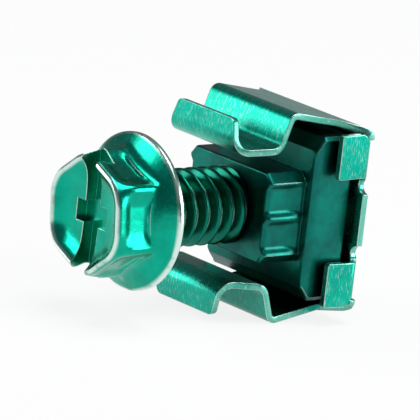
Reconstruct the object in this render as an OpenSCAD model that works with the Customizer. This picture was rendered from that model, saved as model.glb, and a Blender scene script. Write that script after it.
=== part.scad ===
// Rack cage nut: a folded spring-steel cage, the loose T-shaped nut that it holds, and
// the slotted hex washer-head screw started in the nut.
// X runs along the screw from its head into the rack, Y runs across the two legs and Z is
// up. The origin is the centre of the rack's square hole, midway along the legs' grooves.

/* [Rack hole] */
// Side of the square hole in the rack's rail
hole_side = 9.5; // [9.2:0.1:9.8]
// How much narrower than the hole the nut's neck is
neck_play = 0.2; // [0.1:0.05:0.4]
// How much narrower than the hole the legs are
leg_play = 0.5; // [0.3:0.1:0.9]

/* [Screw] */
// Outside diameter of the thread
thread_d = 5.49; // [4.8:0.01:6]
// Length of the shank under the flange
shank_l = 12.7; // [11:0.1:14]
// Bevel at the shank's tip
tip_bevel = 0.5; // [0.2:0.05:0.8]
// Clear distance from the flange to the nut's front face
flange_stand = 7.9; // [7:0.1:9]
// Diameter of the flange
flange_d = 11; // [10.4:0.1:12.5]
// Thickness of the flange's rim
flange_rim = 0.45; // [0.3:0.05:0.8]
// Height of the flange where it meets the hexagon
flange_h = 1.3; // [1:0.05:1.6]
// Hexagon's size across flats
hex_af = 7.9; // [7.4:0.05:8.4]
// How far the hexagon's corners are rounded off
corner_round = 0.15; // [0.1:0.05:0.3]
// Turn of the hexagon about the screw's axis
hex_turn = 37; // [0:1:60]
// Height of the whole head, flange included
head_h = 4.55; // [3.8:0.05:5.2]
// Rounding of the hexagon's rim
rim_round = 0.5; // [0.3:0.05:0.8]
// Width of the rim left round the dish in the end of the head
rim_w = 0.35; // [0.2:0.05:0.6]
// Depth of the dish
dish_depth = 0.75; // [0.3:0.05:0.9]
// Depth of the hollow in the middle of each flat
flat_hollow = 0.12; // [0.05:0.01:0.2]
// Width of the long driver slot
slot_w = 1.65; // [1:0.05:2]
// Depth of the driver slots below the rim
slot_depth = 1.6; // [1:0.05:2]
// Length of the short cross slot
cross_l = 3.4; // [2.4:0.1:4.4]
// Width of the short cross slot
cross_w = 1.5; // [0.8:0.05:2]

/* [Nut] */
// Distance of the nut's front face behind the middle of the groove
nut_set_back = 1.07; // [0.5:0.01:1.6]
// Radial clearance of the screw in the nut
thread_gap = 0.05; // [0.02:0.01:0.09]
// Bevel at both mouths of the threaded hole
mouth_bevel = 0.3; // [0.1:0.05:0.4]
// Length of the neck
neck_l = 3.1; // [2.8:0.1:3.4]
// Height of the neck
neck_h = 6.45; // [6.3:0.05:7]
// Bevel along the neck's long edges
neck_bevel = 0.65; // [0.4:0.05:0.8]
// Bevel of the neck's front face at its two ends
neck_edge = 0.3; // [0.1:0.05:0.4]
// Number of hollows in each end of the neck
flutes = 2; // [1:1:3]
// Depth of these hollows
flute_depth = 0.28; // [0.15:0.01:0.35]
// Length of the base along the screw
base_l = 3.5; // [3:0.1:4]
// Width of the base
base_w = 10.7; // [10:0.1:11.5]
// Height of the base
base_h = 11.7; // [11:0.1:12.5]
// Length along the screw of the bevels on the base's shoulders
base_slope_l = 0.8; // [0.4:0.1:1.2]
// Height of the bevels on the base's shoulders
base_slope_h = 0.9; // [0.4:0.1:1.4]
// Bevel on the base's other outer edges
base_edge = 0.3; // [0.1:0.05:0.5]

/* [Cage] */
// Thickness of the spring steel
sheet_t = 0.45; // [0.4:0.05:0.5]
// Gap between the nut and the rear wall
wall_gap = 0.35; // [0.2:0.05:0.5]
// Gap between the nut's rear edge and each leg
leg_gap = 0.37; // [0.25:0.01:0.5]
// Gap between the nut and the tabs beside it
side_gap = 0.5; // [0.45:0.05:0.7]
// How much wider than the thread the hole in the rear wall is
rear_hole_play = 2.5; // [1.5:0.1:3]

/* [Cage legs] */
// Slope of the legs towards the rear wall, in degrees
leg_slope = 10.4; // [8:0.1:12]
// Distance from the axis to the groove's floor, in the middle of the sheet
groove_z = 4.73; // [4.6:0.01:5]
// Length of the groove's floor, between the corners of its bends
groove_l = 3.36; // [3:0.02:3.8]
// Tilt of the groove's floor, in degrees
groove_tilt = 4; // [0:0.5:6]
// Lean of the wall behind the groove, in degrees
riser_lean = 18; // [14:1:24]
// Lean of the lip in front of the groove, in degrees
lip_lean = 6; // [3:1:10]
// Distance from the axis to the lip's edge
lip_z = 7; // [6.6:0.1:7.2]
// Width of the lip at its edge
lip_w = 6.4; // [6:0.1:7]
// Width of the lip at its root
lip_root_w = 7.3; // [7:0.1:8]
// Rounding of the lip's corners
lip_round = 0.5; // [0.3:0.1:0.8]
// Radius of the groove's bends, in the middle of the sheet
groove_r = 0.95; // [0.7:0.05:1.1]
// Radius of the shoulder's bend, in the middle of the sheet
shoulder_r = 0.55; // [0.4:0.05:0.8]
// Radius of the bend into the rear wall, in the middle of the sheet
rear_r = 0.7; // [0.5:0.05:0.9]
// Length over which each leg widens before the rear wall
flare_l = 1.5; // [1.2:0.1:2]

/* [Cage tabs] */
// Length of the tabs, from the back of the rear wall
tab_l = 2.8; // [2.2:0.1:3.2]
// Distance from the screw's level to the tabs' inner ends
tab_low = 3.05; // [2.9:0.05:3.4]
// Distance from the screw's level to the tabs' outer ends
tab_high = 6.15; // [5.9:0.05:6.2]
// Radius inside the tabs' bends
tab_r = 0.2; // [0.15:0.05:0.4]
// Relief left between a tab's bend and the leg's bend
tab_relief = 0.15; // [0.1:0.05:0.3]
// Radius of the relief notches at the tabs' inner ends
notch_r = 0.6; // [0.4:0.05:0.65]

/* [Hidden] */
$fn = 96;
// Steps in each rounded corner of an outline
ARC_STEPS = 10;
// Overshoot of a cut past the face that it starts from
CUT = 1;

// Nut
nut_bore_r = thread_d / 2 + thread_gap;
neck_w = hole_side - neck_play;
base_x = nut_set_back + neck_l;
nut_rear_x = base_x + base_l;
// Distance between the ridges that the flutes leave
ridge_step = (neck_h - 2 * neck_bevel) / flutes;
// Radius of a cylinder that cuts such a hollow
flute_r = (pow(ridge_step / 2, 2) + pow(flute_depth, 2)) / (2 * flute_depth);

// Screw
flange_x = nut_set_back - flange_stand;
hex_corner_r = hex_af / 2 / cos(30);
head_r = hex_corner_r - corner_round;
dish_r = hex_af / 2 - rim_w;
// Radius of the ball that leaves the dish
dish_ball_r = (pow(dish_r, 2) + pow(dish_depth, 2)) / (2 * dish_depth);
// Half-length of a flat's hollow, and the radius of the cylinder that cuts it
hollow_half = hex_corner_r / 2 - rim_w;
hollow_r = (pow(hollow_half, 2) + pow(flat_hollow, 2)) / (2 * flat_hollow);

// Rear wall and tabs, set round the nut
wall_in_x = nut_rear_x + wall_gap;
wall_mid_x = wall_in_x + sheet_t / 2;
wall_out_x = wall_in_x + sheet_t;
wall_hw = base_w / 2 + side_gap + sheet_t;
rear_hole_r = (thread_d + rear_hole_play) / 2;

// Leg, whose middle line passes the nut's rear edge at leg_gap
leg_w = hole_side - leg_play;
wall_corner_z = base_h / 2 + (leg_gap + sheet_t / 2) / cos(leg_slope)
    - (wall_mid_x - nut_rear_x + base_edge) * tan(leg_slope);
lip_root = [-groove_l / 2, groove_z - groove_l / 2 * tan(groove_tilt)];
riser_root = [groove_l / 2, groove_z + groove_l / 2 * tan(groove_tilt)];
lip_tip = [lip_root.x + (lip_z - lip_root.y) * tan(lip_lean), lip_z];
// Where the riser meets the sloping leg
shoulder_x = (wall_corner_z + wall_mid_x * tan(leg_slope) - riser_root.y
    + riser_root.x / tan(riser_lean)) / (1 / tan(riser_lean) + tan(leg_slope));
shoulder = [shoulder_x, wall_corner_z + (wall_mid_x - shoulder_x) * tan(leg_slope)];
leg_line = [lip_tip, lip_root, riser_root, shoulder, [wall_mid_x, wall_corner_z], [wall_mid_x, 0]];
leg_bends = [0, groove_r, groove_r, shoulder_r, rear_r, 0];
// Length of sheet that the rear bend takes up on each side of its corner
rear_set_back = rear_r * tan((90 - leg_slope) / 2);
wall_top_z = wall_corner_z - rear_set_back;
rear_bend_x = wall_mid_x - rear_set_back * cos(leg_slope);

// Vectors in a plane: unit length, quarter turn to the left, and the signed turn between two
function unit(v) = v / norm(v);
function left(v) = [-v.y, v.x];
function turn(a, b) = atan2(a.x * b.y - a.y * b.x, a * b);
// Round corner b of the path a-b-c to radius r, on a line shifted to the path's left
function corner(a, b, c, r, shift = 0) =
    let (from = unit(b - a), to = unit(c - b), bend = turn(from, to), s = sign(bend))
    let (centre = b - from * r * tan(abs(bend) / 2) + left(from) * s * r)
    let (start = atan2(from.y, from.x))
    r == 0 ? [b + left(from) * shift] :
    [for (i = [0:ARC_STEPS]) let (h = start + bend * i / ARC_STEPS)
        centre - [-sin(h), cos(h)] * (s * r - shift)];
// One side of a bent strip: its middle line shifted to the left, with round bends
function strip_side(line, bends, shift) =
    let (n = len(line), first = unit(line[1] - line[0]), last = unit(line[n - 1] - line[n - 2]))
    concat([line[0] + left(first) * shift],
        [for (i = [1:n - 2]) each corner(line[i - 1], line[i], line[i + 1], bends[i], shift)],
        [line[n - 1] + left(last) * shift]);
function reversed(list) = [for (i = [len(list) - 1:-1:0]) list[i]];
// A closed outline with each corner rounded to its own radius
function rounded(points, radii) =
    let (n = len(points))
    [for (i = [0:n - 1]) each corner(points[(i + n - 1) % n], points[i], points[(i + 1) % n], radii[i])];

// Outlines drawn in the YZ, XZ and XY planes and extruded along the axis that is left
module along_x(x0, x1) {
    translate([x0, 0, 0]) rotate([90, 0, 90]) linear_extrude(x1 - x0) children();
}
module along_y(width) {
    translate([0, width / 2, 0]) rotate([90, 0, 0]) linear_extrude(width) children();
}
module along_z(z0, z1) {
    translate([0, 0, z0]) linear_extrude(z1 - z0) children();
}
// A rectangle with its four corners bevelled
module bevelled(w, h, bevel_w, bevel_h) {
    polygon([for (sx = [-1, 1], i = [0, 1]) let (low = sx * (2 * i - 1) > 0)
        sx * [w / 2 - (i == 0 ? 0 : bevel_w), 0] + [0, (low ? -1 : 1) * (h / 2 - (i == 0 ? bevel_h : 0))]]);
}
// Copies above and below the screw, and on both of its sides
module above_and_below() {
    children();
    mirror([0, 0, 1]) children();
}
module both_sides() {
    children();
    mirror([0, 1, 0]) children();
}

// ---------- Cage ----------

// Sheet of one leg and half of the rear wall, bent but not yet cut to its outline
module bent_sheet() {
    along_y(2 * wall_hw) polygon(concat(
        strip_side(leg_line, leg_bends, sheet_t / 2),
        reversed(strip_side(leg_line, leg_bends, -sheet_t / 2))));
}

// Space that the blank's outline leaves of the bent sheet: lip, leg and rear wall
module blank_outline() {
    lip_hw = lip_w / 2;
    root_hw = lip_root_w / 2;
    along_x(lip_root.x - CUT, lip_root.x) polygon(rounded(
        [[root_hw, 0], [root_hw, lip_root.y], [lip_hw, lip_z], [-lip_hw, lip_z], [-root_hw, lip_root.y], [-root_hw, 0]],
        [0, 0, lip_round, lip_round, 0, 0]));
    along_z(wall_top_z, shoulder.y + CUT) leg_plan(root_hw);
    along_z(0, wall_top_z) intersection() {
        leg_plan(root_hw);
        translate([lip_root.x, -wall_hw]) square([rear_bend_x - lip_root.x, 2 * wall_hw]);
    }
    translate([rear_bend_x, -wall_hw, 0]) cube([wall_out_x - rear_bend_x, 2 * wall_hw, wall_top_z]);
}

// Outline of a leg seen from above: it widens from the lip's root and again to the rear wall
module leg_plan(root_hw) {
    half = [[lip_root.x, root_hw], [riser_root.x, leg_w / 2], [wall_in_x - flare_l, leg_w / 2],
        [wall_in_x, wall_hw], [wall_out_x, wall_hw]];
    polygon(concat(half, [for (p = reversed(half)) [p.x, -p.y]]));
}

// Tab folded forwards from the side of the rear wall, beside the nut
module tab() {
    front_x = wall_out_x - tab_l;
    fold_x = wall_in_x - tab_r;
    fold_top = wall_top_z - tab_relief;
    translate([front_x, wall_hw - sheet_t, tab_low])
        cube([fold_x - front_x, sheet_t, fold_top - tab_low]);
    translate([front_x, wall_hw - sheet_t, fold_top - sheet_t])
        cube([rear_bend_x - tab_relief - front_x, sheet_t, tab_high - fold_top + sheet_t]);
    translate([fold_x, wall_hw - sheet_t - tab_r, tab_low])
        rotate_extrude(angle = 90) translate([tab_r, 0]) square([sheet_t, fold_top - tab_low]);
}

// What is cut from the rear wall's side for one tab: its fold, the relief above and the notch below
module tab_cut() {
    fold_y = wall_hw - sheet_t - tab_r;
    translate([rear_bend_x, fold_y, tab_low])
        cube([wall_out_x + CUT - rear_bend_x, wall_hw + CUT - fold_y, wall_top_z - tab_low]);
    translate([wall_in_x - CUT, wall_hw, tab_low - notch_r])
        rotate([0, 90, 0]) cylinder(r = notch_r, h = sheet_t + 2 * CUT);
}

module cage() color([0.02, 0.45, 0.36]) {
    difference() {
        above_and_below() intersection() {
            bent_sheet();
            blank_outline();
        }
        above_and_below() both_sides() tab_cut();
        translate([wall_in_x - CUT, 0, 0]) rotate([0, 90, 0])
            cylinder(r = rear_hole_r, h = sheet_t + 2 * CUT);
    }
    above_and_below() both_sides() tab();
}

// ---------- Nut ----------

// Neck that stands in the rack's square hole
module neck() {
    difference() {
        intersection() {
            along_x(nut_set_back, base_x) bevelled(neck_w, neck_h, neck_bevel, neck_bevel);
            along_z(-neck_h, neck_h) polygon([
                [nut_set_back, neck_edge - neck_w / 2], [nut_set_back, neck_w / 2 - neck_edge],
                [nut_set_back + neck_edge, neck_w / 2], [base_x, neck_w / 2],
                [base_x, -neck_w / 2], [nut_set_back + neck_edge, -neck_w / 2]]);
        }
        both_sides() for (i = [0:flutes - 1])
            translate([nut_set_back - CUT, neck_w / 2 - flute_depth + flute_r, (i - (flutes - 1) / 2) * ridge_step])
                rotate([0, 90, 0]) cylinder(r = flute_r, h = neck_l + CUT);
    }
}

// Base that the cage holds behind the rail
module base() {
    intersection() {
        along_x(base_x, nut_rear_x) bevelled(base_w, base_h, base_edge, base_edge);
        along_y(base_w) polygon([
            [base_x, base_slope_h - base_h / 2], [base_x, base_h / 2 - base_slope_h],
            [base_x + base_slope_l, base_h / 2], [nut_rear_x - base_edge, base_h / 2],
            [nut_rear_x, base_h / 2 - base_edge], [nut_rear_x, base_edge - base_h / 2],
            [nut_rear_x - base_edge, -base_h / 2], [base_x + base_slope_l, -base_h / 2]]);
        along_z(-base_h, base_h) polygon([
            [base_x, -base_w / 2], [base_x, base_w / 2], [nut_rear_x - base_edge, base_w / 2],
            [nut_rear_x, base_w / 2 - base_edge], [nut_rear_x, base_edge - base_w / 2],
            [nut_rear_x - base_edge, -base_w / 2]]);
    }
}

module nut() color([0.01, 0.4, 0.34]) {
    difference() {
        union() {
            neck();
            base();
        }
        translate([nut_set_back - CUT, 0, 0]) rotate([0, 90, 0])
            cylinder(r = nut_bore_r, h = neck_l + base_l + 2 * CUT);
        translate([nut_set_back, 0, 0]) rotate([0, 90, 0])
            cylinder(r1 = nut_bore_r + mouth_bevel, r2 = nut_bore_r, h = mouth_bevel);
        translate([nut_rear_x - mouth_bevel, 0, 0]) rotate([0, 90, 0])
            cylinder(r1 = nut_bore_r, r2 = nut_bore_r + mouth_bevel, h = mouth_bevel);
    }
}

// ---------- Screw ----------
// Drawn upright on the flange's underside, with the head up and the shank down

module flange() {
    r = flange_d / 2;
    rotate_extrude() polygon(rounded(
        [[0, 0], [r, 0], [r, flange_rim], [hex_af / 2, flange_h], [0, flange_h]],
        [0, flange_rim / 3, flange_rim / 3, 0, 0]));
}

module hexagon() {
    difference() {
        intersection() {
            rotate(hex_turn - 90) cylinder(r = hex_corner_r, h = head_h, $fn = 6);
            rotate_extrude() polygon(rounded(
                [[0, 0], [head_r, 0], [head_r, head_h], [0, head_h]],
                [0, 0, rim_round, 0]));
        }
        translate([0, 0, head_h - dish_depth + dish_ball_r]) sphere(r = dish_ball_r);
        for (i = [0:5]) rotate(hex_turn - 90 + 30 + 60 * i)
            translate([hex_af / 2 - flat_hollow + hollow_r, 0, flange_h])
                cylinder(r = hollow_r, h = head_h - flange_h - rim_round);
    }
}

module driver_slots() {
    translate([-hex_corner_r - CUT, -slot_w / 2, head_h - slot_depth])
        cube([2 * (hex_corner_r + CUT), slot_w, slot_depth + CUT]);
    translate([-cross_w / 2, -cross_l / 2, head_h - slot_depth])
        cube([cross_w, cross_l, slot_depth + CUT]);
}

module shank() {
    r = thread_d / 2;
    rotate_extrude() polygon([[0, -shank_l], [r - tip_bevel, -shank_l], [r, tip_bevel - shank_l], [r, 0], [0, 0]]);
}

module screw() color([0.0, 0.5, 0.4]) {
    translate([flange_x, 0, 0]) rotate([0, -90, 0]) {
        shank();
        difference() {
            union() {
                flange();
                hexagon();
            }
            driver_slots();
        }
    }
}

cage();
nut();
screw();
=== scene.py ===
"""Rack cage nut: folded spring-steel cage, loose T-shaped nut, slotted hex washer-head screw.

X runs along the screw from its head into the rack, Y across the two legs, Z up.
Sizes are in millimetres unless a name or comment says otherwise.
"""

import math

import bmesh
import bpy
import numpy as np
from mathutils import Matrix, Vector
from mathutils.geometry import delaunay_2d_cdt


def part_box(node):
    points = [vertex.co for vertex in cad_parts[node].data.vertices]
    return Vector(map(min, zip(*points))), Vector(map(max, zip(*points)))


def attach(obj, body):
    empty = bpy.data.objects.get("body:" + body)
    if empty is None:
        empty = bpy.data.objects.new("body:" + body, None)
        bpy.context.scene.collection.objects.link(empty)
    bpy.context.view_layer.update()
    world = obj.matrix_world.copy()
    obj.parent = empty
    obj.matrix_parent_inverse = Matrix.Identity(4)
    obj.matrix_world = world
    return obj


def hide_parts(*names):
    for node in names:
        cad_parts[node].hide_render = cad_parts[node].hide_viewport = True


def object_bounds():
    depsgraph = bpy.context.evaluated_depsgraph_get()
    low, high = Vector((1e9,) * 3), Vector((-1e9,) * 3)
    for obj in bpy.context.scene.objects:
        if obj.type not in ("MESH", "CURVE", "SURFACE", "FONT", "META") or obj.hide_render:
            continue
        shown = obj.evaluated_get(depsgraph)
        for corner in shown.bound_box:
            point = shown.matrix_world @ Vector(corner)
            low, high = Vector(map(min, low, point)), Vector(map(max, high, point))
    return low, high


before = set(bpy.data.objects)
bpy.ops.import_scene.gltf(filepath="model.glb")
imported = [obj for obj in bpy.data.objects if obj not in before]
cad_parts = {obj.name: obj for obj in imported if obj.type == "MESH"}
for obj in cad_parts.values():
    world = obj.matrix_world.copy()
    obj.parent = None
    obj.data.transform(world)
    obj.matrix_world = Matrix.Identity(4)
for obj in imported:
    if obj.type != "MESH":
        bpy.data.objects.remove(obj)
cad_low, cad_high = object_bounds()
MM = 0.001  # one millimetre in metres


# ---------- Camera ----------
# A long lens a little above the screw's level, in front of one side and towards the head.

view_azimuth = math.radians(-39.4)
view_elevation = math.radians(13.5)
view_roll = math.radians(6.55)
view_distance = 400
frame_width = 29.1667  # of the view, at the object
centre_shift = (-1.11, -0.42)  # of the view's centre from the nut's front face
look_from = (
    Matrix.Rotation(view_azimuth, 3, "Z")
    @ Matrix.Rotation(math.pi / 2 - view_elevation, 3, "X")
    @ Matrix.Rotation(view_roll, 3, "Z")
)
nut_low, nut_high = (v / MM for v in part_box("nut"))
look_at = Vector((nut_low.x, 0, 0)) + look_from @ Vector((*centre_shift, 0))
lens = bpy.data.cameras.new("view")
lens.sensor_width = 36
lens.lens = lens.sensor_width * view_distance / frame_width
lens.clip_start = 0.01
camera = bpy.data.objects.new("view", lens)
camera.matrix_world = Matrix.LocRotScale(
    (look_at + look_from @ Vector((0, 0, view_distance))) * MM, look_from.to_quaternion(), None
)
bpy.context.scene.collection.objects.link(camera)
bpy.context.scene.camera = camera


# ---------- Floor and light ----------
# A wide pale table top under the cage's lips, lit by three large soft boxes.

bpy.context.scene.view_settings.view_transform = "Standard"


def new_object(name, mesh):
    """A linked object that holds mesh, at the origin."""
    made = bpy.data.objects.new(name, mesh)
    bpy.context.scene.collection.objects.link(made)
    return made


def new_material(name):
    """An empty node material, and a call that adds a node with its links and values to it."""
    made = bpy.data.materials.new(name)
    made.use_nodes = True
    made.node_tree.nodes.clear()

    def add(kind, *links, **values):
        node = made.node_tree.nodes.new(kind)
        for key, value in values.items():
            setattr(node, key, value)
        for socket, source in links:
            if isinstance(source, bpy.types.NodeSocket):
                made.node_tree.links.new(source, node.inputs[socket])
            else:
                node.inputs[socket].default_value = source
        return node

    return made, add


floor_reach = 1500
floor_sides = 96
floor_gap = 0.01  # under the cage's lips
glow_share = 0.85  # how much of the floor's white is its own
table_paper, add = new_material("table_paper")
seen = add("ShaderNodeLightPath")
seen_or_mirrored = add(
    "ShaderNodeMath",
    (0, seen.outputs["Is Camera Ray"]),
    (1, seen.outputs["Is Glossy Ray"]),
    operation="MAXIMUM",
)
own_glow = add("ShaderNodeMath", (0, seen_or_mirrored.outputs[0]), (1, glow_share), operation="MULTIPLY")
paper_tooth = add("ShaderNodeTexNoise", ("Scale", 900.0), ("Detail", 4.0))
paper_tint = add(
    "ShaderNodeMix",
    ("Factor", paper_tooth.outputs[0]),
    (6, (0.86, 0.86, 0.86, 1)),
    (7, (0.9, 0.9, 0.9, 1)),
    data_type="RGBA",
)
lit_paper = add("ShaderNodeBsdfDiffuse", ("Color", paper_tint.outputs[2]))
white_paper = add("ShaderNodeEmission", ("Color", (1, 1, 1, 1)), ("Strength", 1.0))
paper = add(
    "ShaderNodeMixShader", (0, own_glow.outputs[0]), (1, lit_paper.outputs[0]), (2, white_paper.outputs[0])
)
add("ShaderNodeOutputMaterial", ("Surface", paper.outputs[0]))

floor_mesh = bpy.data.meshes.new("floor")
floor_rim = [
    Vector((math.cos(a), math.sin(a), 0)) * floor_reach * MM + Vector((0, 0, cad_low[2] - floor_gap * MM))
    for a in np.linspace(0, 2 * math.pi, floor_sides + 1)[:-1]
]
floor_mesh.from_pydata(floor_rim, [], [list(range(floor_sides))])
floor = new_object("floor", floor_mesh)
floor_mesh.materials.append(table_paper)


def soft_box(name, direction, distance, width, height, power):
    """A rectangular lamp that looks at the object from a direction; power in watts."""
    lamp = bpy.data.lights.new(name, "AREA")
    lamp.shape = "RECTANGLE"
    lamp.size = width * MM
    lamp.size_y = height * MM
    lamp.energy = power
    held = bpy.data.objects.new(name, lamp)
    towards = Vector(direction).normalized()
    held.matrix_world = Matrix.LocRotScale(
        towards * distance * MM, towards.to_track_quat("Z", "Y"), None
    )
    bpy.context.scene.collection.objects.link(held)


soft_box("overhead_box", (0.1, -0.15, 0.98), 420, 300, 260, 1.3)
soft_box("right_box", (0.72, -0.66, 0.22), 420, 240, 260, 1.2)
soft_box("left_box", (-0.75, 0.6, 0.3), 450, 220, 260, 0.8)

# The room is white where it is looked at, and dim where it lights the object
room = bpy.data.worlds.new("room")
room.use_nodes = True
bpy.context.scene.world = room
room_nodes = room.node_tree.nodes
room_links = room.node_tree.links
room_light = room_nodes["Background"]
room_light.inputs["Strength"].default_value = 1.0
room_seen = room_nodes.new("ShaderNodeLightPath")
room_shade = room_nodes.new("ShaderNodeMix")
room_shade.data_type = "RGBA"
room_shade.inputs[6].default_value = (0.16, 0.17, 0.18, 1)
room_shade.inputs[7].default_value = (1, 1, 1, 1)
room_links.new(room_seen.outputs["Is Camera Ray"], room_shade.inputs[0])
room_links.new(room_shade.outputs[2], room_light.inputs["Color"])


# ---------- Screw ----------
# Slotted, dished hex washer-head machine screw of low-carbon steel: head and flange headed
# cold, thread rolled right-handed, zinc plated bright and dyed green under a clear seal.

screw_low, screw_high = (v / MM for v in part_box("screw"))
flange_r = (screw_high.y - screw_low.y) / 2
tip_x = screw_high.x
head_x = screw_low.x
head_h = 4.55
flange_x = head_x + head_h
hex_flat = 3.95  # from the axis to a flat
hex_turn = math.radians(23)  # of a corner, from +Y towards +Z
hex_corner = 0.5
rim_corner = 2.4  # the hexagon is rounder towards its end
rounder_from = 3.1
panel_depth = 0.2  # of the hollow in each flat
panel_hw = 2.15
panel_hh = 1.4
panel_mid_h = 2.7
panel_side = 1.2  # length over which a panel fades sideways
panel_end = 0.9
rim_h = 0.45
cone_top = 1.3
dish_depth = 0.75
slot_w = 1.65
slot_depth = 1.6
slot_reach = 6  # of its cutter, past the head's rim
cross_l = 3.4
cross_w = 1.5
pitch = 25.4 / 24
thread_r = 2.743
root_r = 2.13
plain_r = 2.42
around = 192  # points round the screw
rows_to_pitch = 16
root_flat = 0.22  # share of half a pitch, as is the flank
flank = 0.66


def thread_tree():
    """Helical thread round X as a grid whose rows follow the helix, with plain ends."""
    tree = bpy.data.node_groups.new("rolled_thread", "GeometryNodeTree")
    tree.interface.new_socket("Geometry", in_out="OUTPUT", socket_type="NodeSocketGeometry")
    for name, kind in (
        ("Pitch", "NodeSocketFloat"),
        ("Crest radius", "NodeSocketFloat"),
        ("Root radius", "NodeSocketFloat"),
        ("Plain radius", "NodeSocketFloat"),
        ("Start", "NodeSocketFloat"),
        ("End", "NodeSocketFloat"),
        ("Run-out", "NodeSocketFloat"),
        ("Tip bevel", "NodeSocketFloat"),
        ("Turn", "NodeSocketFloat"),
        ("Rows", "NodeSocketInt"),
        ("Points around", "NodeSocketInt"),
        ("Material", "NodeSocketMaterial"),
    ):
        tree.interface.new_socket(name, in_out="INPUT", socket_type=kind)
    size = tree.nodes.new("NodeGroupInput").outputs

    def put(socket, value):
        if isinstance(value, bpy.types.NodeSocket):
            tree.links.new(value, socket)
        else:
            socket.default_value = value

    def calc(operation, *values, clamp=False):
        node = tree.nodes.new("ShaderNodeMath")
        node.operation = operation
        node.use_clamp = clamp
        for socket, value in zip(node.inputs, values):
            put(socket, value)
        return node.outputs[0]

    def fade(value, low, high):
        node = tree.nodes.new("ShaderNodeMapRange")
        node.interpolation_type = "SMOOTHSTEP"
        for socket, v in zip(node.inputs, (value, low, high, 0.0, 1.0)):
            put(socket, v)
        return node.outputs[0]

    grid = tree.nodes.new("GeometryNodeMeshGrid")
    grid.inputs["Size X"].default_value = 1
    grid.inputs["Size Y"].default_value = 1
    put(grid.inputs["Vertices X"], size["Rows"])
    put(grid.inputs["Vertices Y"], calc("ADD", size["Points around"], 1))
    place = tree.nodes.new("ShaderNodeSeparateXYZ")
    put(place.inputs[0], tree.nodes.new("GeometryNodeInputPosition").outputs[0])
    row = calc("MULTIPLY", calc("ADD", place.outputs[0], 0.5), calc("SUBTRACT", size["Rows"], 1))
    part_turn = calc("ADD", place.outputs[1], 0.5)
    # The rows start one pitch early, so that the clipped end is square
    along = calc("ADD", calc("DIVIDE", row, rows_to_pitch), calc("SUBTRACT", part_turn, 1.0))
    free_x = calc("ADD", size["Start"], calc("MULTIPLY", along, size["Pitch"]))
    x = calc("MINIMUM", calc("MAXIMUM", free_x, size["Start"]), size["End"])
    angle = calc("ADD", calc("MULTIPLY", part_turn, 2 * math.pi), size["Turn"])
    phase = calc("SUBTRACT", calc("DIVIDE", x, size["Pitch"]), calc("DIVIDE", angle, 2 * math.pi))
    wave = calc("ABSOLUTE", calc("SUBTRACT", calc("MULTIPLY", calc("FRACT", phase), 2.0), 1.0))
    tooth = calc("DIVIDE", calc("SUBTRACT", wave, root_flat), flank, clamp=True)
    depth = calc("SUBTRACT", size["Crest radius"], size["Root radius"])
    cut_r = calc("ADD", size["Root radius"], calc("MULTIPLY", tooth, depth))
    run_start = calc("MULTIPLY", size["Run-out"], 0.25)
    run = fade(calc("SUBTRACT", x, size["Start"]), run_start, size["Run-out"])
    plain_share = calc("MULTIPLY", size["Plain radius"], calc("SUBTRACT", 1.0, run))
    mixed_r = calc("ADD", calc("MULTIPLY", cut_r, run), plain_share)
    tip_limit = calc(
        "ADD", calc("SUBTRACT", size["Crest radius"], size["Tip bevel"]), calc("SUBTRACT", size["End"], x)
    )
    r = calc("MINIMUM", mixed_r, tip_limit)
    joined = tree.nodes.new("ShaderNodeCombineXYZ")
    put(joined.inputs[0], x)
    put(joined.inputs[1], calc("MULTIPLY", r, calc("COSINE", angle)))
    put(joined.inputs[2], calc("MULTIPLY", r, calc("SINE", angle)))
    shaped = tree.nodes.new("GeometryNodeSetPosition")
    put(shaped.inputs["Geometry"], grid.outputs["Mesh"])
    put(shaped.inputs["Position"], joined.outputs[0])
    merged = tree.nodes.new("GeometryNodeMergeByDistance")
    put(merged.inputs["Geometry"], shaped.outputs[0])
    merged.inputs["Distance"].default_value = 0.0005
    real = tree.nodes.new("GeometryNodeRealizeInstances")
    put(real.inputs[0], merged.outputs[0])
    painted = tree.nodes.new("GeometryNodeSetMaterial")
    put(painted.inputs["Geometry"], real.outputs[0])
    put(painted.inputs["Material"], size["Material"])
    tree.links.new(painted.outputs[0], tree.nodes.new("NodeGroupOutput").inputs[0])
    return tree


def grown(tree, base, **values):
    """The plain mesh that a node tree makes on the base mesh with these inputs."""
    holder = new_object("holder", base)
    modifier = holder.modifiers.new("grown", "NODES")
    modifier.node_group = tree
    sockets = {
        item.name.replace(" ", "_").replace("-", "_"): item.identifier
        for item in tree.interface.items_tree
        if item.in_out == "INPUT"
    }
    for name, value in values.items():
        modifier[sockets[name]] = value
    bpy.context.view_layer.update()
    ready = holder.evaluated_get(bpy.context.evaluated_depsgraph_get())
    made = bpy.data.meshes.new_from_object(ready)
    bpy.data.objects.remove(holder)
    return made


rolled_thread = thread_tree()


def threaded_tube(start, end, crest, root, plain, run_out, tip_bevel):
    """Points and faces of an open threaded tube from start to end."""
    made = grown(
        rolled_thread,
        bpy.data.meshes.new("tube"),
        Pitch=pitch,
        Crest_radius=crest,
        Root_radius=root,
        Plain_radius=plain,
        Start=start,
        End=end,
        Run_out=run_out,
        Tip_bevel=tip_bevel,
        Turn=hex_turn,
        Rows=rows_to_pitch * math.ceil((end - start) / pitch + 1) + 1,
        Points_around=around,
    )
    shape = bmesh.new()
    shape.from_mesh(made)
    return shape


def ring_faces(shape, rows):
    """Joins rows of points round the axis with quads, and returns each row's vertices."""
    rings = [[shape.verts.new(p) for p in row] for row in rows]
    for a, b in zip(rings, rings[1:]):
        for i in range(len(a)):
            j = (i + 1) % len(a)
            shape.faces.new((a[i], a[j], b[j], b[i]))
    return rings


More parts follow.
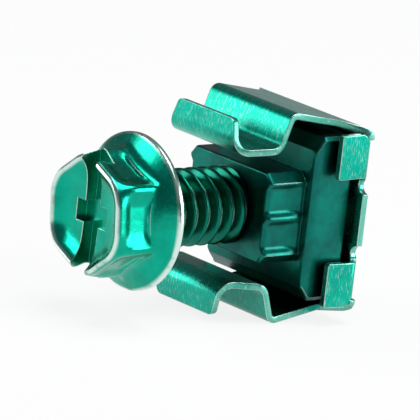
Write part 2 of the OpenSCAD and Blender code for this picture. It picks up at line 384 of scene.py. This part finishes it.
def finished_mesh(shape, name):
    """A mesh in metres from a millimetre shape, with doubles merged and faces pointing out."""
    bmesh.ops.remove_doubles(shape, verts=shape.verts, dist=0.0004)
    bmesh.ops.dissolve_degenerate(shape, edges=shape.edges, dist=0.0002)
    bmesh.ops.recalc_face_normals(shape, faces=shape.faces)
    if shape.calc_volume(signed=True) < 0:
        bmesh.ops.reverse_faces(shape, faces=shape.faces)
    bmesh.ops.scale(shape, vec=(MM, MM, MM), verts=shape.verts)
    made = bpy.data.meshes.new(name)
    shape.to_mesh(made)
    shape.free()
    return made


def applied(obj):
    """Replaces the object's mesh with what its modifiers make of it, and removes them."""
    bpy.context.view_layer.update()
    made = bpy.data.meshes.new_from_object(obj.evaluated_get(bpy.context.evaluated_depsgraph_get()))
    obj.modifiers.clear()
    obj.data = made
    return obj


def smooth_faces(obj, sharp_angle=40):
    """Smooth shading that stays flat on the big faces and breaks at sharp edges."""
    obj.data.polygons.foreach_set("use_smooth", [True] * len(obj.data.polygons))
    obj.data.set_sharp_from_angle(angle=math.radians(sharp_angle))
    weigh = obj.modifiers.new("weigh", "WEIGHTED_NORMAL")
    weigh.keep_sharp = True
    weigh.weight = 90
    return applied(obj)


def cut_away(obj, cutter_mesh):
    """Cuts a closed mesh out of the object."""
    cutter = new_object("cutter", cutter_mesh)
    cut = obj.modifiers.new("cut", "BOOLEAN")
    cut.operation = "DIFFERENCE"
    cut.solver = "EXACT"
    cut.object = cutter
    applied(obj)
    bpy.data.objects.remove(cutter)
    return obj


def plateau(value, half, soft):
    """One in the middle of a band of this half width, fading to nought at its edges."""
    t = np.clip((half - np.abs(value)) / soft, 0, 1)
    return t * t * (3 - 2 * t)


turns = hex_turn + np.arange(around) * 2 * math.pi / around
from_flat = np.mod(turns - hex_turn, math.pi / 3) - math.pi / 6


def hexagon_r(corner):
    """Radius of the hexagon all round, with its corners rounded."""
    arc_centre = (hex_flat - corner) / math.cos(math.pi / 6)
    off_corner = math.pi / 6 - np.abs(from_flat)
    reach = np.sqrt(np.maximum(corner**2 - (arc_centre * np.sin(off_corner)) ** 2, 0))
    on_arc = hex_flat * np.tan(np.abs(from_flat)) > (hex_flat - corner) * math.tan(math.pi / 6)
    return np.where(on_arc, arc_centre * np.cos(off_corner) + reach, hex_flat / np.cos(from_flat))


hex_r = hexagon_r(hex_corner)
end_r = hexagon_r(rim_corner)
flat_place = hex_flat * np.tan(from_flat)  # along the flat from its middle
head_rows = []


def head_row(h, r):
    """One row of the head at height h above the flange's underside."""
    h = np.broadcast_to(h, turns.shape)
    r = np.broadcast_to(r, turns.shape)
    head_rows.append(np.stack([flange_x - h, r * np.cos(turns), r * np.sin(turns)], axis=1))


head_row(0, plain_r)
under_radii = (2.6, 3.4, 4.4, flange_r - 0.2)  # of rows under the flange
for r in under_radii:
    head_row(0, r)
rim_round = 0.14
for a in np.linspace(-90, 0, 5)[1:]:
    a = math.radians(a)
    head_row(rim_round + rim_round * math.sin(a), flange_r - rim_round + rim_round * math.cos(a))
for a in np.linspace(0, 60, 5):
    a = math.radians(a)
    head_row(rim_h - rim_round * (1 - math.sin(a)), flange_r - rim_round + rim_round * math.cos(a))
cone_edge = flange_r - rim_round / 2 - 0.03
foot = 0.5


def cone_h(r):
    return rim_h + (cone_top - rim_h) * (cone_edge - r) / (cone_edge - hex_flat)


for t in np.linspace(0, 1, 7)[1:]:
    r = cone_edge + (hex_r + foot - cone_edge) * t
    head_row(cone_h(r), r)
for t in np.linspace(0, 1, 9)[1:]:
    r = (1 - t) ** 2 * (hex_r + foot) + 2 * t * (1 - t) * hex_r + t * t * hex_r
    h = (1 - t) ** 2 * cone_h(hex_r + foot) + 2 * t * (1 - t) * cone_h(hex_r)
    h += t * t * (cone_h(hex_r) + foot)
    head_row(h, r)
top_round = 0.3
wall_top = head_h - top_round
wall_foot = cone_h(hex_r) + foot
for t in np.linspace(0, 1, 22)[1:]:
    h = wall_foot + (wall_top - wall_foot) * t
    panel = plateau(flat_place, panel_hw, panel_side) * plateau(h - panel_mid_h, panel_hh, panel_end)
    to_end = np.clip((h - rounder_from) / (wall_top - rounder_from), 0, 1) ** 1.5
    r = hex_r + (end_r - hex_r) * to_end - panel_depth * panel
    head_row(h, r)
for a in np.linspace(0, 90, 7)[1:]:
    a = math.radians(a)
    head_row(wall_top + top_round * math.sin(a), end_r - top_round + top_round * math.cos(a))
dish_r = end_r - top_round - 0.03
for t in (1, 0.985, 0.97, 0.95, 0.93, 0.9, 0.87, 0.83, 0.78, 0.72, 0.64, 0.54, 0.42, 0.3, 0.18, 0.09):
    depth = dish_depth * (1 - t**6)
    head_row(head_h - depth, dish_r * t)

shape = threaded_tube(flange_x, tip_x, thread_r, root_r, plain_r, run_out=1.6, tip_bevel=0.55)
dish_ring = ring_faces(shape, head_rows)[-1]
dish_middle = shape.verts.new((head_x + dish_depth, 0, 0))
for i in range(around):
    shape.faces.new((dish_ring[i], dish_ring[(i + 1) % around], dish_middle))
bmesh.ops.remove_doubles(shape, verts=shape.verts, dist=0.002)
# The tip is the one open edge that is left, and is closed from it
bmesh.ops.edgeloop_fill(shape, edges=[e for e in shape.edges if e.is_boundary])
screw = new_object("hex_screw", finished_mesh(shape, "hex_screw"))

half_cross = [
    (slot_w / 2, slot_reach), (-slot_w / 2, slot_reach), (-slot_w / 2, cross_w / 2),
    (-cross_l / 2, cross_w / 2), (-cross_l / 2, -cross_w / 2), (-slot_w / 2, -cross_w / 2),
]
cross = half_cross + [(-y, -z) for y, z in half_cross]
shape = bmesh.new()
ends = [[shape.verts.new((x, y, z)) for y, z in cross] for x in (head_x - 1, head_x + slot_depth)]
shape.faces.new(ends[0])
shape.faces.new(ends[1])
for i in range(len(cross)):
    j = (i + 1) % len(cross)
    shape.faces.new((ends[0][i], ends[0][j], ends[1][j], ends[1][i]))
cut_away(screw, finished_mesh(shape, "slot"))
smooth_faces(screw, 38)


def mark_worn(obj, amount):
    """Stores how far the finish is worn at each point, from its place in millimetres."""
    worn = obj.data.attributes.new("worn", "FLOAT", "POINT")
    places = np.empty(len(obj.data.vertices) * 3, np.float32)
    obj.data.vertices.foreach_get("co", places)
    worn.data.foreach_set("value", amount(places.reshape(-1, 3) / MM).astype(np.float32))


def screw_wear(place):
    """Bare on the head's rim and on the flange's."""
    h = flange_x - place[:, 0]
    r = np.hypot(place[:, 1], place[:, 2])
    rim = np.clip(1.15 - np.abs(h - head_h + 0.04) / 0.13, 0, 1) * (r > 3)
    return np.maximum(rim, np.clip((r - flange_r + 0.16) / 0.1, 0, 1)) * 0.85


mark_worn(screw, screw_wear)


def plated(
    name, lit, deep, bare, rough, painted_shade_level,
    fleck_share=0.06, fleck_from=0.62, grain_from=None, grain_scale=(1, 1, 1), painted_shade_from=None,
):
    """Bright zinc dyed green under a clear seal, thin and pale where edges are worn.

    Lit and deep are the dye's two tones, bare is the worn metal, and the shade level is the share of
    colour kept in the hollows' painted shade. Painted shade also darkens it past a given X, in millimetres.
    """
    made, add = new_material(name)
    place = add("ShaderNodeTexCoord").outputs["Object"]
    grain_place = place
    if grain_from:
        grain_place = add("ShaderNodeAttribute", attribute_name=grain_from).outputs["Vector"]
    cloud = add(
        "ShaderNodeTexNoise", ("Vector", place), ("Scale", 420.0), ("Detail", 3.0), ("Roughness", 0.6)
    )
    stretched = add("ShaderNodeMapping", ("Vector", grain_place), ("Scale", grain_scale))
    grain = add(
        "ShaderNodeTexNoise",
        ("Vector", stretched.outputs[0]),
        ("Scale", 3200.0),
        ("Detail", 3.0),
        ("Roughness", 0.65),
    )
    patch = add(
        "ShaderNodeMapRange", ("Value", cloud.outputs[0]), ("From Min", 0.35), ("From Max", 0.68), clamp=True
    )
    dyed = add(
        "ShaderNodeMix", ("Factor", patch.outputs[0]), (6, (*deep, 1)), (7, (*lit, 1)), data_type="RGBA"
    )
    fleck = add(
        "ShaderNodeMapRange",
        ("Value", grain.outputs[0]),
        ("From Min", fleck_from),
        ("From Max", fleck_from + 0.2),
        ("To Max", fleck_share),
        clamp=True,
    )
    flecked = add(
        "ShaderNodeMix", ("Factor", fleck.outputs[0]), (6, dyed.outputs[2]), (7, (*bare, 1)), data_type="RGBA"
    )
    # Painted shade: the colour is darkened in the hollows that ambient occlusion finds, and past a given X
    hollow = add("ShaderNodeAmbientOcclusion", ("Distance", 5 * MM), samples=8)
    shade = add(
        "ShaderNodeMapRange",
        ("Value", hollow.outputs["AO"]),
        ("From Min", 0.12),
        ("From Max", 0.62),
        ("To Min", painted_shade_level),
        ("To Max", 1.0),
        clamp=True,
    )
    shade_by = shade.outputs[0]
    # Painted shade: past this place on X the colour is darkened
    if painted_shade_from is not None:
        along = add("ShaderNodeSeparateXYZ", (0, place))
        painted_shade_behind = add(
            "ShaderNodeMapRange",
            ("Value", along.outputs["X"]),
            ("From Min", (painted_shade_from - 0.05) * MM),
            ("From Max", (painted_shade_from + 0.05) * MM),
            ("To Min", 1.0),
            ("To Max", 0.4),
            clamp=True,
        )
        darker = add("ShaderNodeMath", (0, shade_by), (1, painted_shade_behind.outputs[0]), operation="MULTIPLY")
        shade_by = darker.outputs[0]
    shade_colour = add("ShaderNodeCombineColor", (0, shade_by), (1, shade_by), (2, shade_by))
    shaded = add(
        "ShaderNodeMix",
        ("Factor", 1.0),
        (6, flecked.outputs[2]),
        (7, shade_colour.outputs[0]),
        data_type="RGBA",
        blend_type="MULTIPLY",
    )
    soft_edge = add("ShaderNodeBevel", ("Radius", 0.11 * MM), samples=6)
    true_normal = add("ShaderNodeNewGeometry").outputs["Normal"]
    same = add(
        "ShaderNodeVectorMath", (0, soft_edge.outputs[0]), (1, true_normal), operation="DOT_PRODUCT"
    )
    open_air = add("ShaderNodeAmbientOcclusion", ("Distance", 0.25 * MM), samples=6, only_local=True)
    edge = add(
        "ShaderNodeMapRange",
        ("Value", same.outputs["Value"]),
        ("From Min", 0.965),
        ("From Max", 0.85),
        clamp=True,
    )
    convex = add(
        "ShaderNodeMapRange",
        ("Value", open_air.outputs["AO"]),
        ("From Min", 0.72),
        ("From Max", 0.95),
        clamp=True,
    )
    worn = add("ShaderNodeMath", (0, edge.outputs[0]), (1, convex.outputs[0]), operation="MULTIPLY")
    rubbed = add("ShaderNodeAttribute", attribute_name="worn")
    broken = add(
        "ShaderNodeMapRange", ("Value", cloud.outputs[0]), ("From Min", 0.3), ("From Max", 0.5), clamp=True
    )
    patchy = add("ShaderNodeMath", (0, rubbed.outputs["Fac"]), (1, broken.outputs[0]), operation="MULTIPLY")
    worn_soft = add("ShaderNodeMath", (0, worn.outputs[0]), (1, patchy.outputs[0]), operation="MAXIMUM")
    colour = add(
        "ShaderNodeMix",
        ("Factor", worn_soft.outputs[0]),
        (6, shaded.outputs[2]),
        (7, (*bare, 1)),
        data_type="RGBA",
    )
    dull = add(
        "ShaderNodeMapRange", ("Value", grain.outputs[0]), ("To Min", rough - 0.08), ("To Max", rough + 0.14)
    )
    bump = add(
        "ShaderNodeBump",
        ("Strength", 0.35),
        ("Distance", 0.012 * MM),
        ("Height", grain.outputs[0]),
        ("Normal", soft_edge.outputs[0]),
    )
    wavy = add(
        "ShaderNodeBump",
        ("Strength", 0.5),
        ("Distance", 0.05 * MM),
        ("Height", cloud.outputs[0]),
        ("Normal", bump.outputs[0]),
    )
    metal = add(
        "ShaderNodeBsdfPrincipled",
        ("Base Color", colour.outputs[2]),
        ("Metallic", 1.0),
        ("Roughness", dull.outputs[0]),
        ("Normal", wavy.outputs[0]),
        ("Coat Weight", 0.12),
        ("Coat Roughness", 0.12),
        ("Coat IOR", 1.5),
    )
    add("ShaderNodeOutputMaterial", ("Surface", metal.outputs[0]))
    return made


# The screw's thread past the flange gets painted shade, for the shade of the flange and the cage
screw_finish = plated(
    "bright_green_plating",
    (0.0, 0.43, 0.29),
    (0.0, 0.32, 0.21),
    (0.8, 0.92, 0.87),
    0.2,
    0.75,
    painted_shade_from=flange_x,
)
screw.data.materials.clear()
screw.data.materials.append(screw_finish)
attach(screw, "screw")
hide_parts("screw")


# ---------- Nut ----------
# T-shaped nut of low-carbon steel, forged with hollows in the neck's two ends, tapped right
# through and plated as the screw is; it floats in the cage with its neck in the rack's hole.

neck_front = nut_low.x
nut_rear = nut_high.x
neck_l = 3.1
neck_hw = 4.65
neck_hh = 3.225
neck_bevel = 0.65
neck_edge = 0.3
neck_edge_z = 0.12  # of the same edge, above and below
base_front = neck_front + neck_l
base_hw = nut_high.y
base_hh = nut_high.z
slope_l = 0.8
slope_h = 0.9
base_edge = 0.3
hollow_depth = 0.3
hollow_full_l = 1.7  # length at full depth
hollow_fade_l = 1.2
hollow_fade = 0.75
end_points = 49  # up each end of the nut
tap_gap = 0.05
mouth_bevel = 0.3
ridge_z = neck_hh - neck_bevel


def end_outline(x):
    """Heights from ridge to ridge on one end of the neck, and the hollows' depth at each."""
    z = np.linspace(-ridge_z, ridge_z, end_points)
    in_hollow = np.mod(z + ridge_z, ridge_z) / ridge_z * 2 - 1
    cross = plateau(in_hollow, 0.985, 0.42)
    past_full = np.clip((x - neck_front - hollow_full_l) / hollow_fade_l, 0, 1)
    run = 1 - past_full**2 * hollow_fade
    return z, hollow_depth * cross * run


def neck_section(x, pinch_y, pinch_z):
    """Closed outline of the neck at x as (y, z) points, drawn in at its front by the pinch."""
    z, hollow = end_outline(x)
    side = [(neck_hw - pinch_y - d, v * (neck_hh - pinch_z) / neck_hh) for v, d in zip(z, hollow)]
    top = neck_hh - pinch_z
    right = [(neck_hw - neck_bevel, -top)] + side + [(neck_hw - neck_bevel, top)]
    return right + [(-y, -z) for y, z in right]


def base_section(hw, hh):
    """Closed outline of the base with the neck's number of points."""
    e = base_edge * 0.8
    z = np.linspace(-hh + e, hh - e, end_points)
    right = [(hw - e, -hh)] + [(hw, v) for v in z] + [(hw - e, hh)]
    return right + [(-y, -z) for y, z in right]


sections = []
for a in np.linspace(0, 90, 5):
    a = math.radians(a)
    left = 1 - math.sin(a)
    sections.append((neck_front + neck_edge * (1 - math.cos(a)), neck_edge * left, neck_edge_z * left))
neck_rows = [[(x, y, z) for y, z in neck_section(x, py, pz)] for x, py, pz in sections]
for x in np.linspace(neck_front + neck_edge, base_front, 15)[1:]:
    neck_rows.append([(x, y, z) for y, z in neck_section(x, 0, 0)])
base_rows = []
for x, hw, hh in (
    (base_front, base_hw - 0.12, base_hh - slope_h - 0.05),
    (base_front + 0.05, base_hw - 0.03, base_hh - slope_h),
    (base_front + 0.12, base_hw, base_hh - slope_h + 0.1),
    (base_front + slope_l - 0.08, base_hw, base_hh - 0.08),
    (base_front + slope_l + 0.08, base_hw, base_hh),
    (nut_rear - base_edge, base_hw, base_hh),
    (nut_rear - base_edge * 0.3, base_hw - base_edge * 0.3, base_hh - base_edge * 0.3),
    (nut_rear, base_hw - base_edge, base_hh - base_edge),
):
    base_rows.append([(x, y, z) for y, z in base_section(hw, hh)])
shape = bmesh.new()
rings = ring_faces(shape, neck_rows + base_rows)
shape.faces.new(rings[0])
shape.faces.new(rings[-1])
nut = new_object("tee_nut", finished_mesh(shape, "tee_nut"))

tap = threaded_tube(
    neck_front - 1,
    nut_rear + 1,
    thread_r + tap_gap,
    root_r + tap_gap,
    thread_r + mouth_bevel,
    run_out=1.35,
    tip_bevel=-mouth_bevel,
)
edge_loops = [[], []]
for edge in tap.edges:
    if edge.is_boundary:
        edge_loops[edge.verts[0].co.x > 4].append(edge)
for loop in edge_loops:
    bmesh.ops.edgeloop_fill(tap, edges=loop)
cut_away(nut, finished_mesh(tap, "tap"))
smooth_faces(nut, 38)
# The nut's plating gets darker colours than the screw's, as painted shade from the cage and the screw round
# it
nut_finish_and_shade = plated(
    "deep_green_plating", (0.0, 0.2, 0.15), (0.004, 0.1, 0.085), (0.45, 0.72, 0.64), 0.3, 0.35
)
nut.data.materials.clear()
nut.data.materials.append(nut_finish_and_shade)
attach(nut, "nut")
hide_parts("nut")


# ---------- Cage ----------
# One punched blank of spring steel: two sprung legs, each with a groove and a lip that snap
# into the rail, folded from a rear wall whose four side tabs stand beside the nut.

_, cage_high = (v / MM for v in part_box("cage"))
sheet_t = 0.45
wall_hw = cage_high.y
wall_mid_x = cage_high.x - sheet_t / 2
leg_hw = 4.5
lip_hw = 3.2
lip_root_hw = 3.65
lip_round = 0.5
groove_l = 3.36
groove_z = 4.73
groove_tilt = math.radians(4)
riser_lean = math.radians(18)
lip_lean = math.radians(6)
lip_z = 7
leg_slope = math.radians(10.4)
flare_l = 1.5
tab_l = 2.8
tab_low = 3.05
tab_r = 0.2
tab_high = 6.25
tab_rear_high = 6.05
relief = 0.15
notch_r = 0.6
rear_hole_r = 3.995
edge_round = 0.07
cut_edge_wear = 0.16
tab_corner = 0.12
tab_step = 0.35  # length over which a tab's edge leaves its fold
leg_gap = 0.37  # from the nut's rear edge to a leg
leg_low = 3  # the legs lie farther than this from the axis
past_blank = 9.5
bend_radii = {"groove": 0.95, "shoulder": 0.55, "rear": 0.7}

corner_z = base_hh + (leg_gap + sheet_t / 2) / math.cos(leg_slope) - (
    wall_mid_x - nut_rear + base_edge
) * math.tan(leg_slope)
lip_root = (-groove_l / 2, groove_z - groove_l / 2 * math.tan(groove_tilt))
riser_root = (groove_l / 2, groove_z + groove_l / 2 * math.tan(groove_tilt))
lip_tip = (lip_root[0] + (lip_z - lip_root[1]) * math.tan(lip_lean), lip_z)
shoulder_x = (
    corner_z + wall_mid_x * math.tan(leg_slope) - riser_root[1] + riser_root[0] / math.tan(riser_lean)
) / (1 / math.tan(riser_lean) + math.tan(leg_slope))
shoulder = (shoulder_x, corner_z + (wall_mid_x - shoulder_x) * math.tan(leg_slope))


def rounded_path(points, radii, steps=9):
    """Points of a path with its corners rounded, and which of them are on a bend."""
    out, bent = [np.array(points[0], float)], [False]
    for i in range(1, len(points) - 1):
        a, b, c = (np.array(points[i + k], float) for k in (-1, 0, 1))
        u, v = (b - a) / np.linalg.norm(b - a), (c - b) / np.linalg.norm(c - b)
        bend = math.atan2(u[0] * v[1] - u[1] * v[0], u @ v)
        if radii[i] == 0 or abs(bend) < 1e-6:
            out.append(b)
            bent.append(False)
            continue
        side = math.copysign(1, bend)
        centre = b - u * radii[i] * math.tan(abs(bend) / 2) + np.array([-u[1], u[0]]) * side * radii[i]
        start = math.atan2(u[1], u[0])
        for k in range(steps + 1):
            h = start + bend * k / steps
            out.append(centre - np.array([-math.sin(h), math.cos(h)]) * side * radii[i])
            bent.append(True)
    out.append(np.array(points[-1], float))
    bent.append(False)
    return np.array(out), bent


upper = [lip_tip, lip_root, riser_root, shoulder, (wall_mid_x, corner_z)]
corners = upper + [(x, -z) for x, z in reversed(upper)]
radii = [0, bend_radii["groove"], bend_radii["groove"], bend_radii["shoulder"], bend_radii["rear"]]
fold_line, on_bend = rounded_path(corners, radii + radii[::-1])
run = np.concatenate([[0], np.cumsum(np.linalg.norm(np.diff(fold_line, axis=0), axis=1))])
half_run = run[-1] / 2


def run_at_x(x):
    """Distance of a place on the sloping leg from the blank's middle, from its x."""
    k = next(
        i
        for i in range(len(run) // 2)
        if fold_line[i][1] > leg_low and fold_line[i + 1][0] > x > shoulder_x
    )
    t = (x - fold_line[k][0]) / (fold_line[k + 1][0] - fold_line[k][0])
    return half_run - (run[k] + t * (run[k + 1] - run[k]))


rear_start = next(run[i] for i in range(len(run) // 2) if fold_line[i][0] > wall_mid_x - 0.6)
wall_top = half_run - max(run[i] for i in range(len(run) // 2) if on_bend[i])
groove_in = half_run - run[next(i for i in range(len(run)) if on_bend[i])] - 0.6
groove_out = groove_in - groove_l + 0.4
flare_out = run_at_x(wall_mid_x - sheet_t / 2 - flare_l)
flare_in = wall_top + 0.55 * (half_run - rear_start - wall_top)
fold_y = wall_hw - sheet_t - tab_r
fold_len = math.pi / 2 * (tab_r + sheet_t / 2)
tab_end = fold_y + fold_len + tab_l - sheet_t - tab_r


def arc(cx, cy, r, a0, a1, steps=8):
    """Points of an arc, with angles in degrees."""
    turned = [math.radians(a) for a in np.linspace(a0, a1, steps + 1)]
    return [(cx + r * math.cos(a), cy + r * math.sin(a)) for a in turned]


# A quarter of the blank's outline as (distance from the middle, distance across)
quarter = [(0, wall_hw)]
quarter += [(s, y) for s, y in arc(tab_low - notch_r, wall_hw, notch_r, 180, 360, 12)]
quarter += [(tab_low, fold_y + fold_len), (tab_low, tab_end - tab_corner), (tab_low + tab_corner, tab_end)]
quarter += [(wall_top - relief - tab_corner, tab_end), (wall_top - relief, tab_end - tab_corner)]
quarter += [(wall_top - relief, fold_y)] + arc(wall_top - relief / 2, fold_y, relief / 2, 180, 360, 6)[1:]
quarter += [(wall_top, wall_hw - 0.1), (wall_top + 0.1, wall_hw), (flare_in, wall_hw)]
quarter += [(flare_out, leg_hw), (groove_out, leg_hw), (groove_in, lip_root_hw)]
quarter += arc(half_run - lip_round, lip_hw - lip_round, lip_round, 80, 10, 5)
quarter = [(float(s), float(y)) for s, y in quarter]
outline = quarter + [(s, -y) for s, y in reversed(quarter)]
outline += [(-s, -y) for s, y in quarter[1:]] + [(-s, y) for s, y in reversed(quarter)][:-1]
hole = arc(0, 0, rear_hole_r, 0, 360, 72)[:-1]

ring = arc(0, 0, rear_hole_r + 0.25, 0, 360, 72)[:-1]
points = [Vector(p) for p in outline + hole + ring]
edges = [(i, (i + 1) % len(outline)) for i in range(len(outline))]
for first in (len(outline), len(outline) + len(hole)):
    edges += [(first + i, first + (i + 1) % len(hole)) for i in range(len(hole))]
bend_lines = set()
for i, s in enumerate(run):
    if on_bend[i]:
        bend_lines.add(round(float(s - half_run), 5))
        if not on_bend[i - 1] or run[i] - run[i - 1] > 0.5:
            bend_lines.add(round(float(s - half_run) - 0.1, 5))
        if not on_bend[i + 1] or run[i + 1] - run[i] > 0.5:
            bend_lines.add(round(float(s - half_run) + 0.1, 5))
for s in sorted(bend_lines):
    edges.append((len(points), len(points) + 1))
    points += [Vector((s, -past_blank)), Vector((s, past_blank))]
tab_lines = [fold_y - 0.1] + [fold_y + fold_len * k / 8 for k in range(9)]
tab_lines += [fold_y + fold_len + 0.1, fold_y + fold_len + tab_step]
tab_sides = (tab_low + 0.01, wall_top - relief - 0.01)
for y in tab_lines:
    for side in (-1, 1):
        for end in (-1, 1):
            edges.append((len(points), len(points) + 1))
            points += [Vector((end * s, side * y)) for s in tab_sides]

flat_points, _, flat_faces, _, _, _ = delaunay_2d_cdt(points, edges, [], 0, 1e-5)


def inside(p, loop):
    """Whether a point lies inside a closed outline."""
    hit = False
    for (x0, y0), (x1, y1) in zip(loop, loop[1:] + loop[:1]):
        if (y0 > p[1]) != (y1 > p[1]) and p[0] < (x1 - x0) * (p[1] - y0) / (y1 - y0) + x0:
            hit = not hit
    return hit


kept = []
for face in flat_faces:
    middle = sum((flat_points[i] for i in face), Vector((0, 0))) / len(face)
    if inside(middle, outline) and not inside(middle, hole):
        kept.append(face)

blank = bmesh.new()
verts = [blank.verts.new((p.x, p.y, -sheet_t / 2)) for p in flat_points]
for face in kept:
    blank.faces.new([verts[i] for i in face])
bmesh.ops.delete(blank, geom=[v for v in blank.verts if not v.link_faces], context="VERTS")
bmesh.ops.recalc_face_normals(blank, faces=blank.faces)
raised = bmesh.ops.extrude_face_region(blank, geom=list(blank.faces))
bmesh.ops.translate(
    blank, vec=(0, 0, sheet_t), verts=[g for g in raised["geom"] if isinstance(g, bmesh.types.BMVert)]
)
bmesh.ops.recalc_face_normals(blank, faces=blank.faces)
rims = [
    e
    for e in blank.edges
    if len(e.link_faces) == 2
    and e.calc_face_angle() > 1.2
    and abs(e.verts[0].co.z - e.verts[1].co.z) < 1e-6
]
bmesh.ops.bevel(
    blank, geom=rims, offset=edge_round, offset_type="OFFSET",
    segments=2, profile=0.5, affect="EDGES", clamp_overlap=True,
)

# The tabs are folded first: forwards, about the wall's side edges
blank_place = blank.verts.layers.float_vector.new("blank_place")
rise = blank.verts.layers.float.new("rise")
worn = blank.verts.layers.float.new("worn")
for v in blank.verts:
    v[blank_place] = v.co * MM
    s, y, t = v.co
    v[worn] = cut_edge_wear if abs(t) < sheet_t / 2 - 0.001 else 0
    past = abs(y) - fold_y
    if past > 0 and tab_low - 0.3 < abs(s) < wall_top - relief + 0.01:
        middle_r = tab_r + sheet_t / 2
        a = min(past / middle_r, math.pi / 2)
        r = middle_r - t
        straight = max(past - fold_len, 0)
        v.co.y = math.copysign(fold_y + r * math.sin(a), y)
        v.co.z = middle_r - r * math.cos(a) + straight
        lift = (tab_rear_high - wall_top + relief) * (1 - math.cos(a)) ** 2
        lift += (tab_high - tab_rear_high) * min(straight / tab_step, 1)
        share = max(abs(s) - tab_low, 0) / (wall_top - relief - tab_low)
        v[rise] = math.copysign(lift * share, s)
blank_mesh = bpy.data.meshes.new("blank")
blank.to_mesh(blank_mesh)
blank.free()


def fold_tree():
    """Wraps a flat blank, lying along X from the middle of a path, round that path."""
    tree = bpy.data.node_groups.new("sheet_fold", "GeometryNodeTree")
    tree.interface.new_socket("Geometry", in_out="OUTPUT", socket_type="NodeSocketGeometry")
    for name, kind in (
        ("Blank", "NodeSocketGeometry"),
        ("Fold line", "NodeSocketObject"),
        ("Half length", "NodeSocketFloat"),
        ("Material", "NodeSocketMaterial"),
    ):
        tree.interface.new_socket(name, in_out="INPUT", socket_type=kind)
    size = tree.nodes.new("NodeGroupInput").outputs
    line = tree.nodes.new("GeometryNodeObjectInfo")
    tree.links.new(size["Fold line"], line.inputs["Object"])
    place = tree.nodes.new("ShaderNodeSeparateXYZ")
    tree.links.new(tree.nodes.new("GeometryNodeInputPosition").outputs[0], place.inputs[0])
    length = tree.nodes.new("ShaderNodeMath")
    length.operation = "SUBTRACT"
    tree.links.new(size["Half length"], length.inputs[0])
    tree.links.new(place.outputs[0], length.inputs[1])
    sample = tree.nodes.new("GeometryNodeSampleCurve")
    sample.mode = "LENGTH"
    tree.links.new(line.outputs["Geometry"], sample.inputs["Curves"])
    tree.links.new(length.outputs[0], sample.inputs["Length"])
    out = tree.nodes.new("ShaderNodeVectorMath")
    out.operation = "CROSS_PRODUCT"
    out.inputs[0].default_value = (0, 1, 0)
    tree.links.new(sample.outputs["Tangent"], out.inputs[1])
    unit = tree.nodes.new("ShaderNodeVectorMath")
    unit.operation = "NORMALIZE"
    tree.links.new(out.outputs[0], unit.inputs[0])
    lifted = tree.nodes.new("ShaderNodeVectorMath")
    lifted.operation = "SCALE"
    tree.links.new(unit.outputs[0], lifted.inputs[0])
    tree.links.new(place.outputs[2], lifted.inputs["Scale"])
    based = tree.nodes.new("ShaderNodeVectorMath")
    based.operation = "ADD"
    tree.links.new(sample.outputs["Position"], based.inputs[0])
    tree.links.new(lifted.outputs[0], based.inputs[1])
    rise = tree.nodes.new("GeometryNodeInputNamedAttribute")
    rise.data_type = "FLOAT"
    rise.inputs["Name"].default_value = "rise"
    aside = tree.nodes.new("ShaderNodeCombineXYZ")
    tree.links.new(place.outputs[1], aside.inputs[1])
    tree.links.new(rise.outputs["Attribute"], aside.inputs[2])
    whole = tree.nodes.new("ShaderNodeVectorMath")
    whole.operation = "ADD"
    tree.links.new(based.outputs[0], whole.inputs[0])
    tree.links.new(aside.outputs[0], whole.inputs[1])
    folded = tree.nodes.new("GeometryNodeSetPosition")
    tree.links.new(size["Blank"], folded.inputs["Geometry"])
    tree.links.new(whole.outputs[0], folded.inputs["Position"])
    real = tree.nodes.new("GeometryNodeRealizeInstances")
    tree.links.new(folded.outputs[0], real.inputs[0])
    painted = tree.nodes.new("GeometryNodeSetMaterial")
    tree.links.new(real.outputs[0], painted.inputs["Geometry"])
    tree.links.new(size["Material"], painted.inputs["Material"])
    tree.links.new(painted.outputs[0], tree.nodes.new("NodeGroupOutput").inputs[0])
    return tree


path = bpy.data.curves.new("fold_line", "CURVE")
path.dimensions = "3D"
spline = path.splines.new("POLY")
spline.points.add(len(fold_line) - 1)
for point, (x, z) in zip(spline.points, fold_line):
    point.co = (x, 0, z, 1)
fold_path = new_object("fold_line", path)
folded = grown(fold_tree(), blank_mesh, Fold_line=fold_path, Half_length=half_run)
bpy.data.objects.remove(fold_path)
shape = bmesh.new()
shape.from_mesh(folded)
cage = new_object("folded_cage", finished_mesh(shape, "folded_cage"))
smooth_faces(cage, 50)
cage_finish = plated(
    "green_plated_sheet",
    (0.0, 0.46, 0.33),
    (0.0, 0.35, 0.25),
    (0.82, 0.94, 0.88),
    0.27,
    0.42,
    fleck_share=0.42,
    fleck_from=0.56,
    grain_from="blank_place",
    grain_scale=(0.8, 3.4, 1.0),
)
cage.data.materials.clear()
cage.data.materials.append(cage_finish)
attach(cage, "cage")
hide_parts("cage")
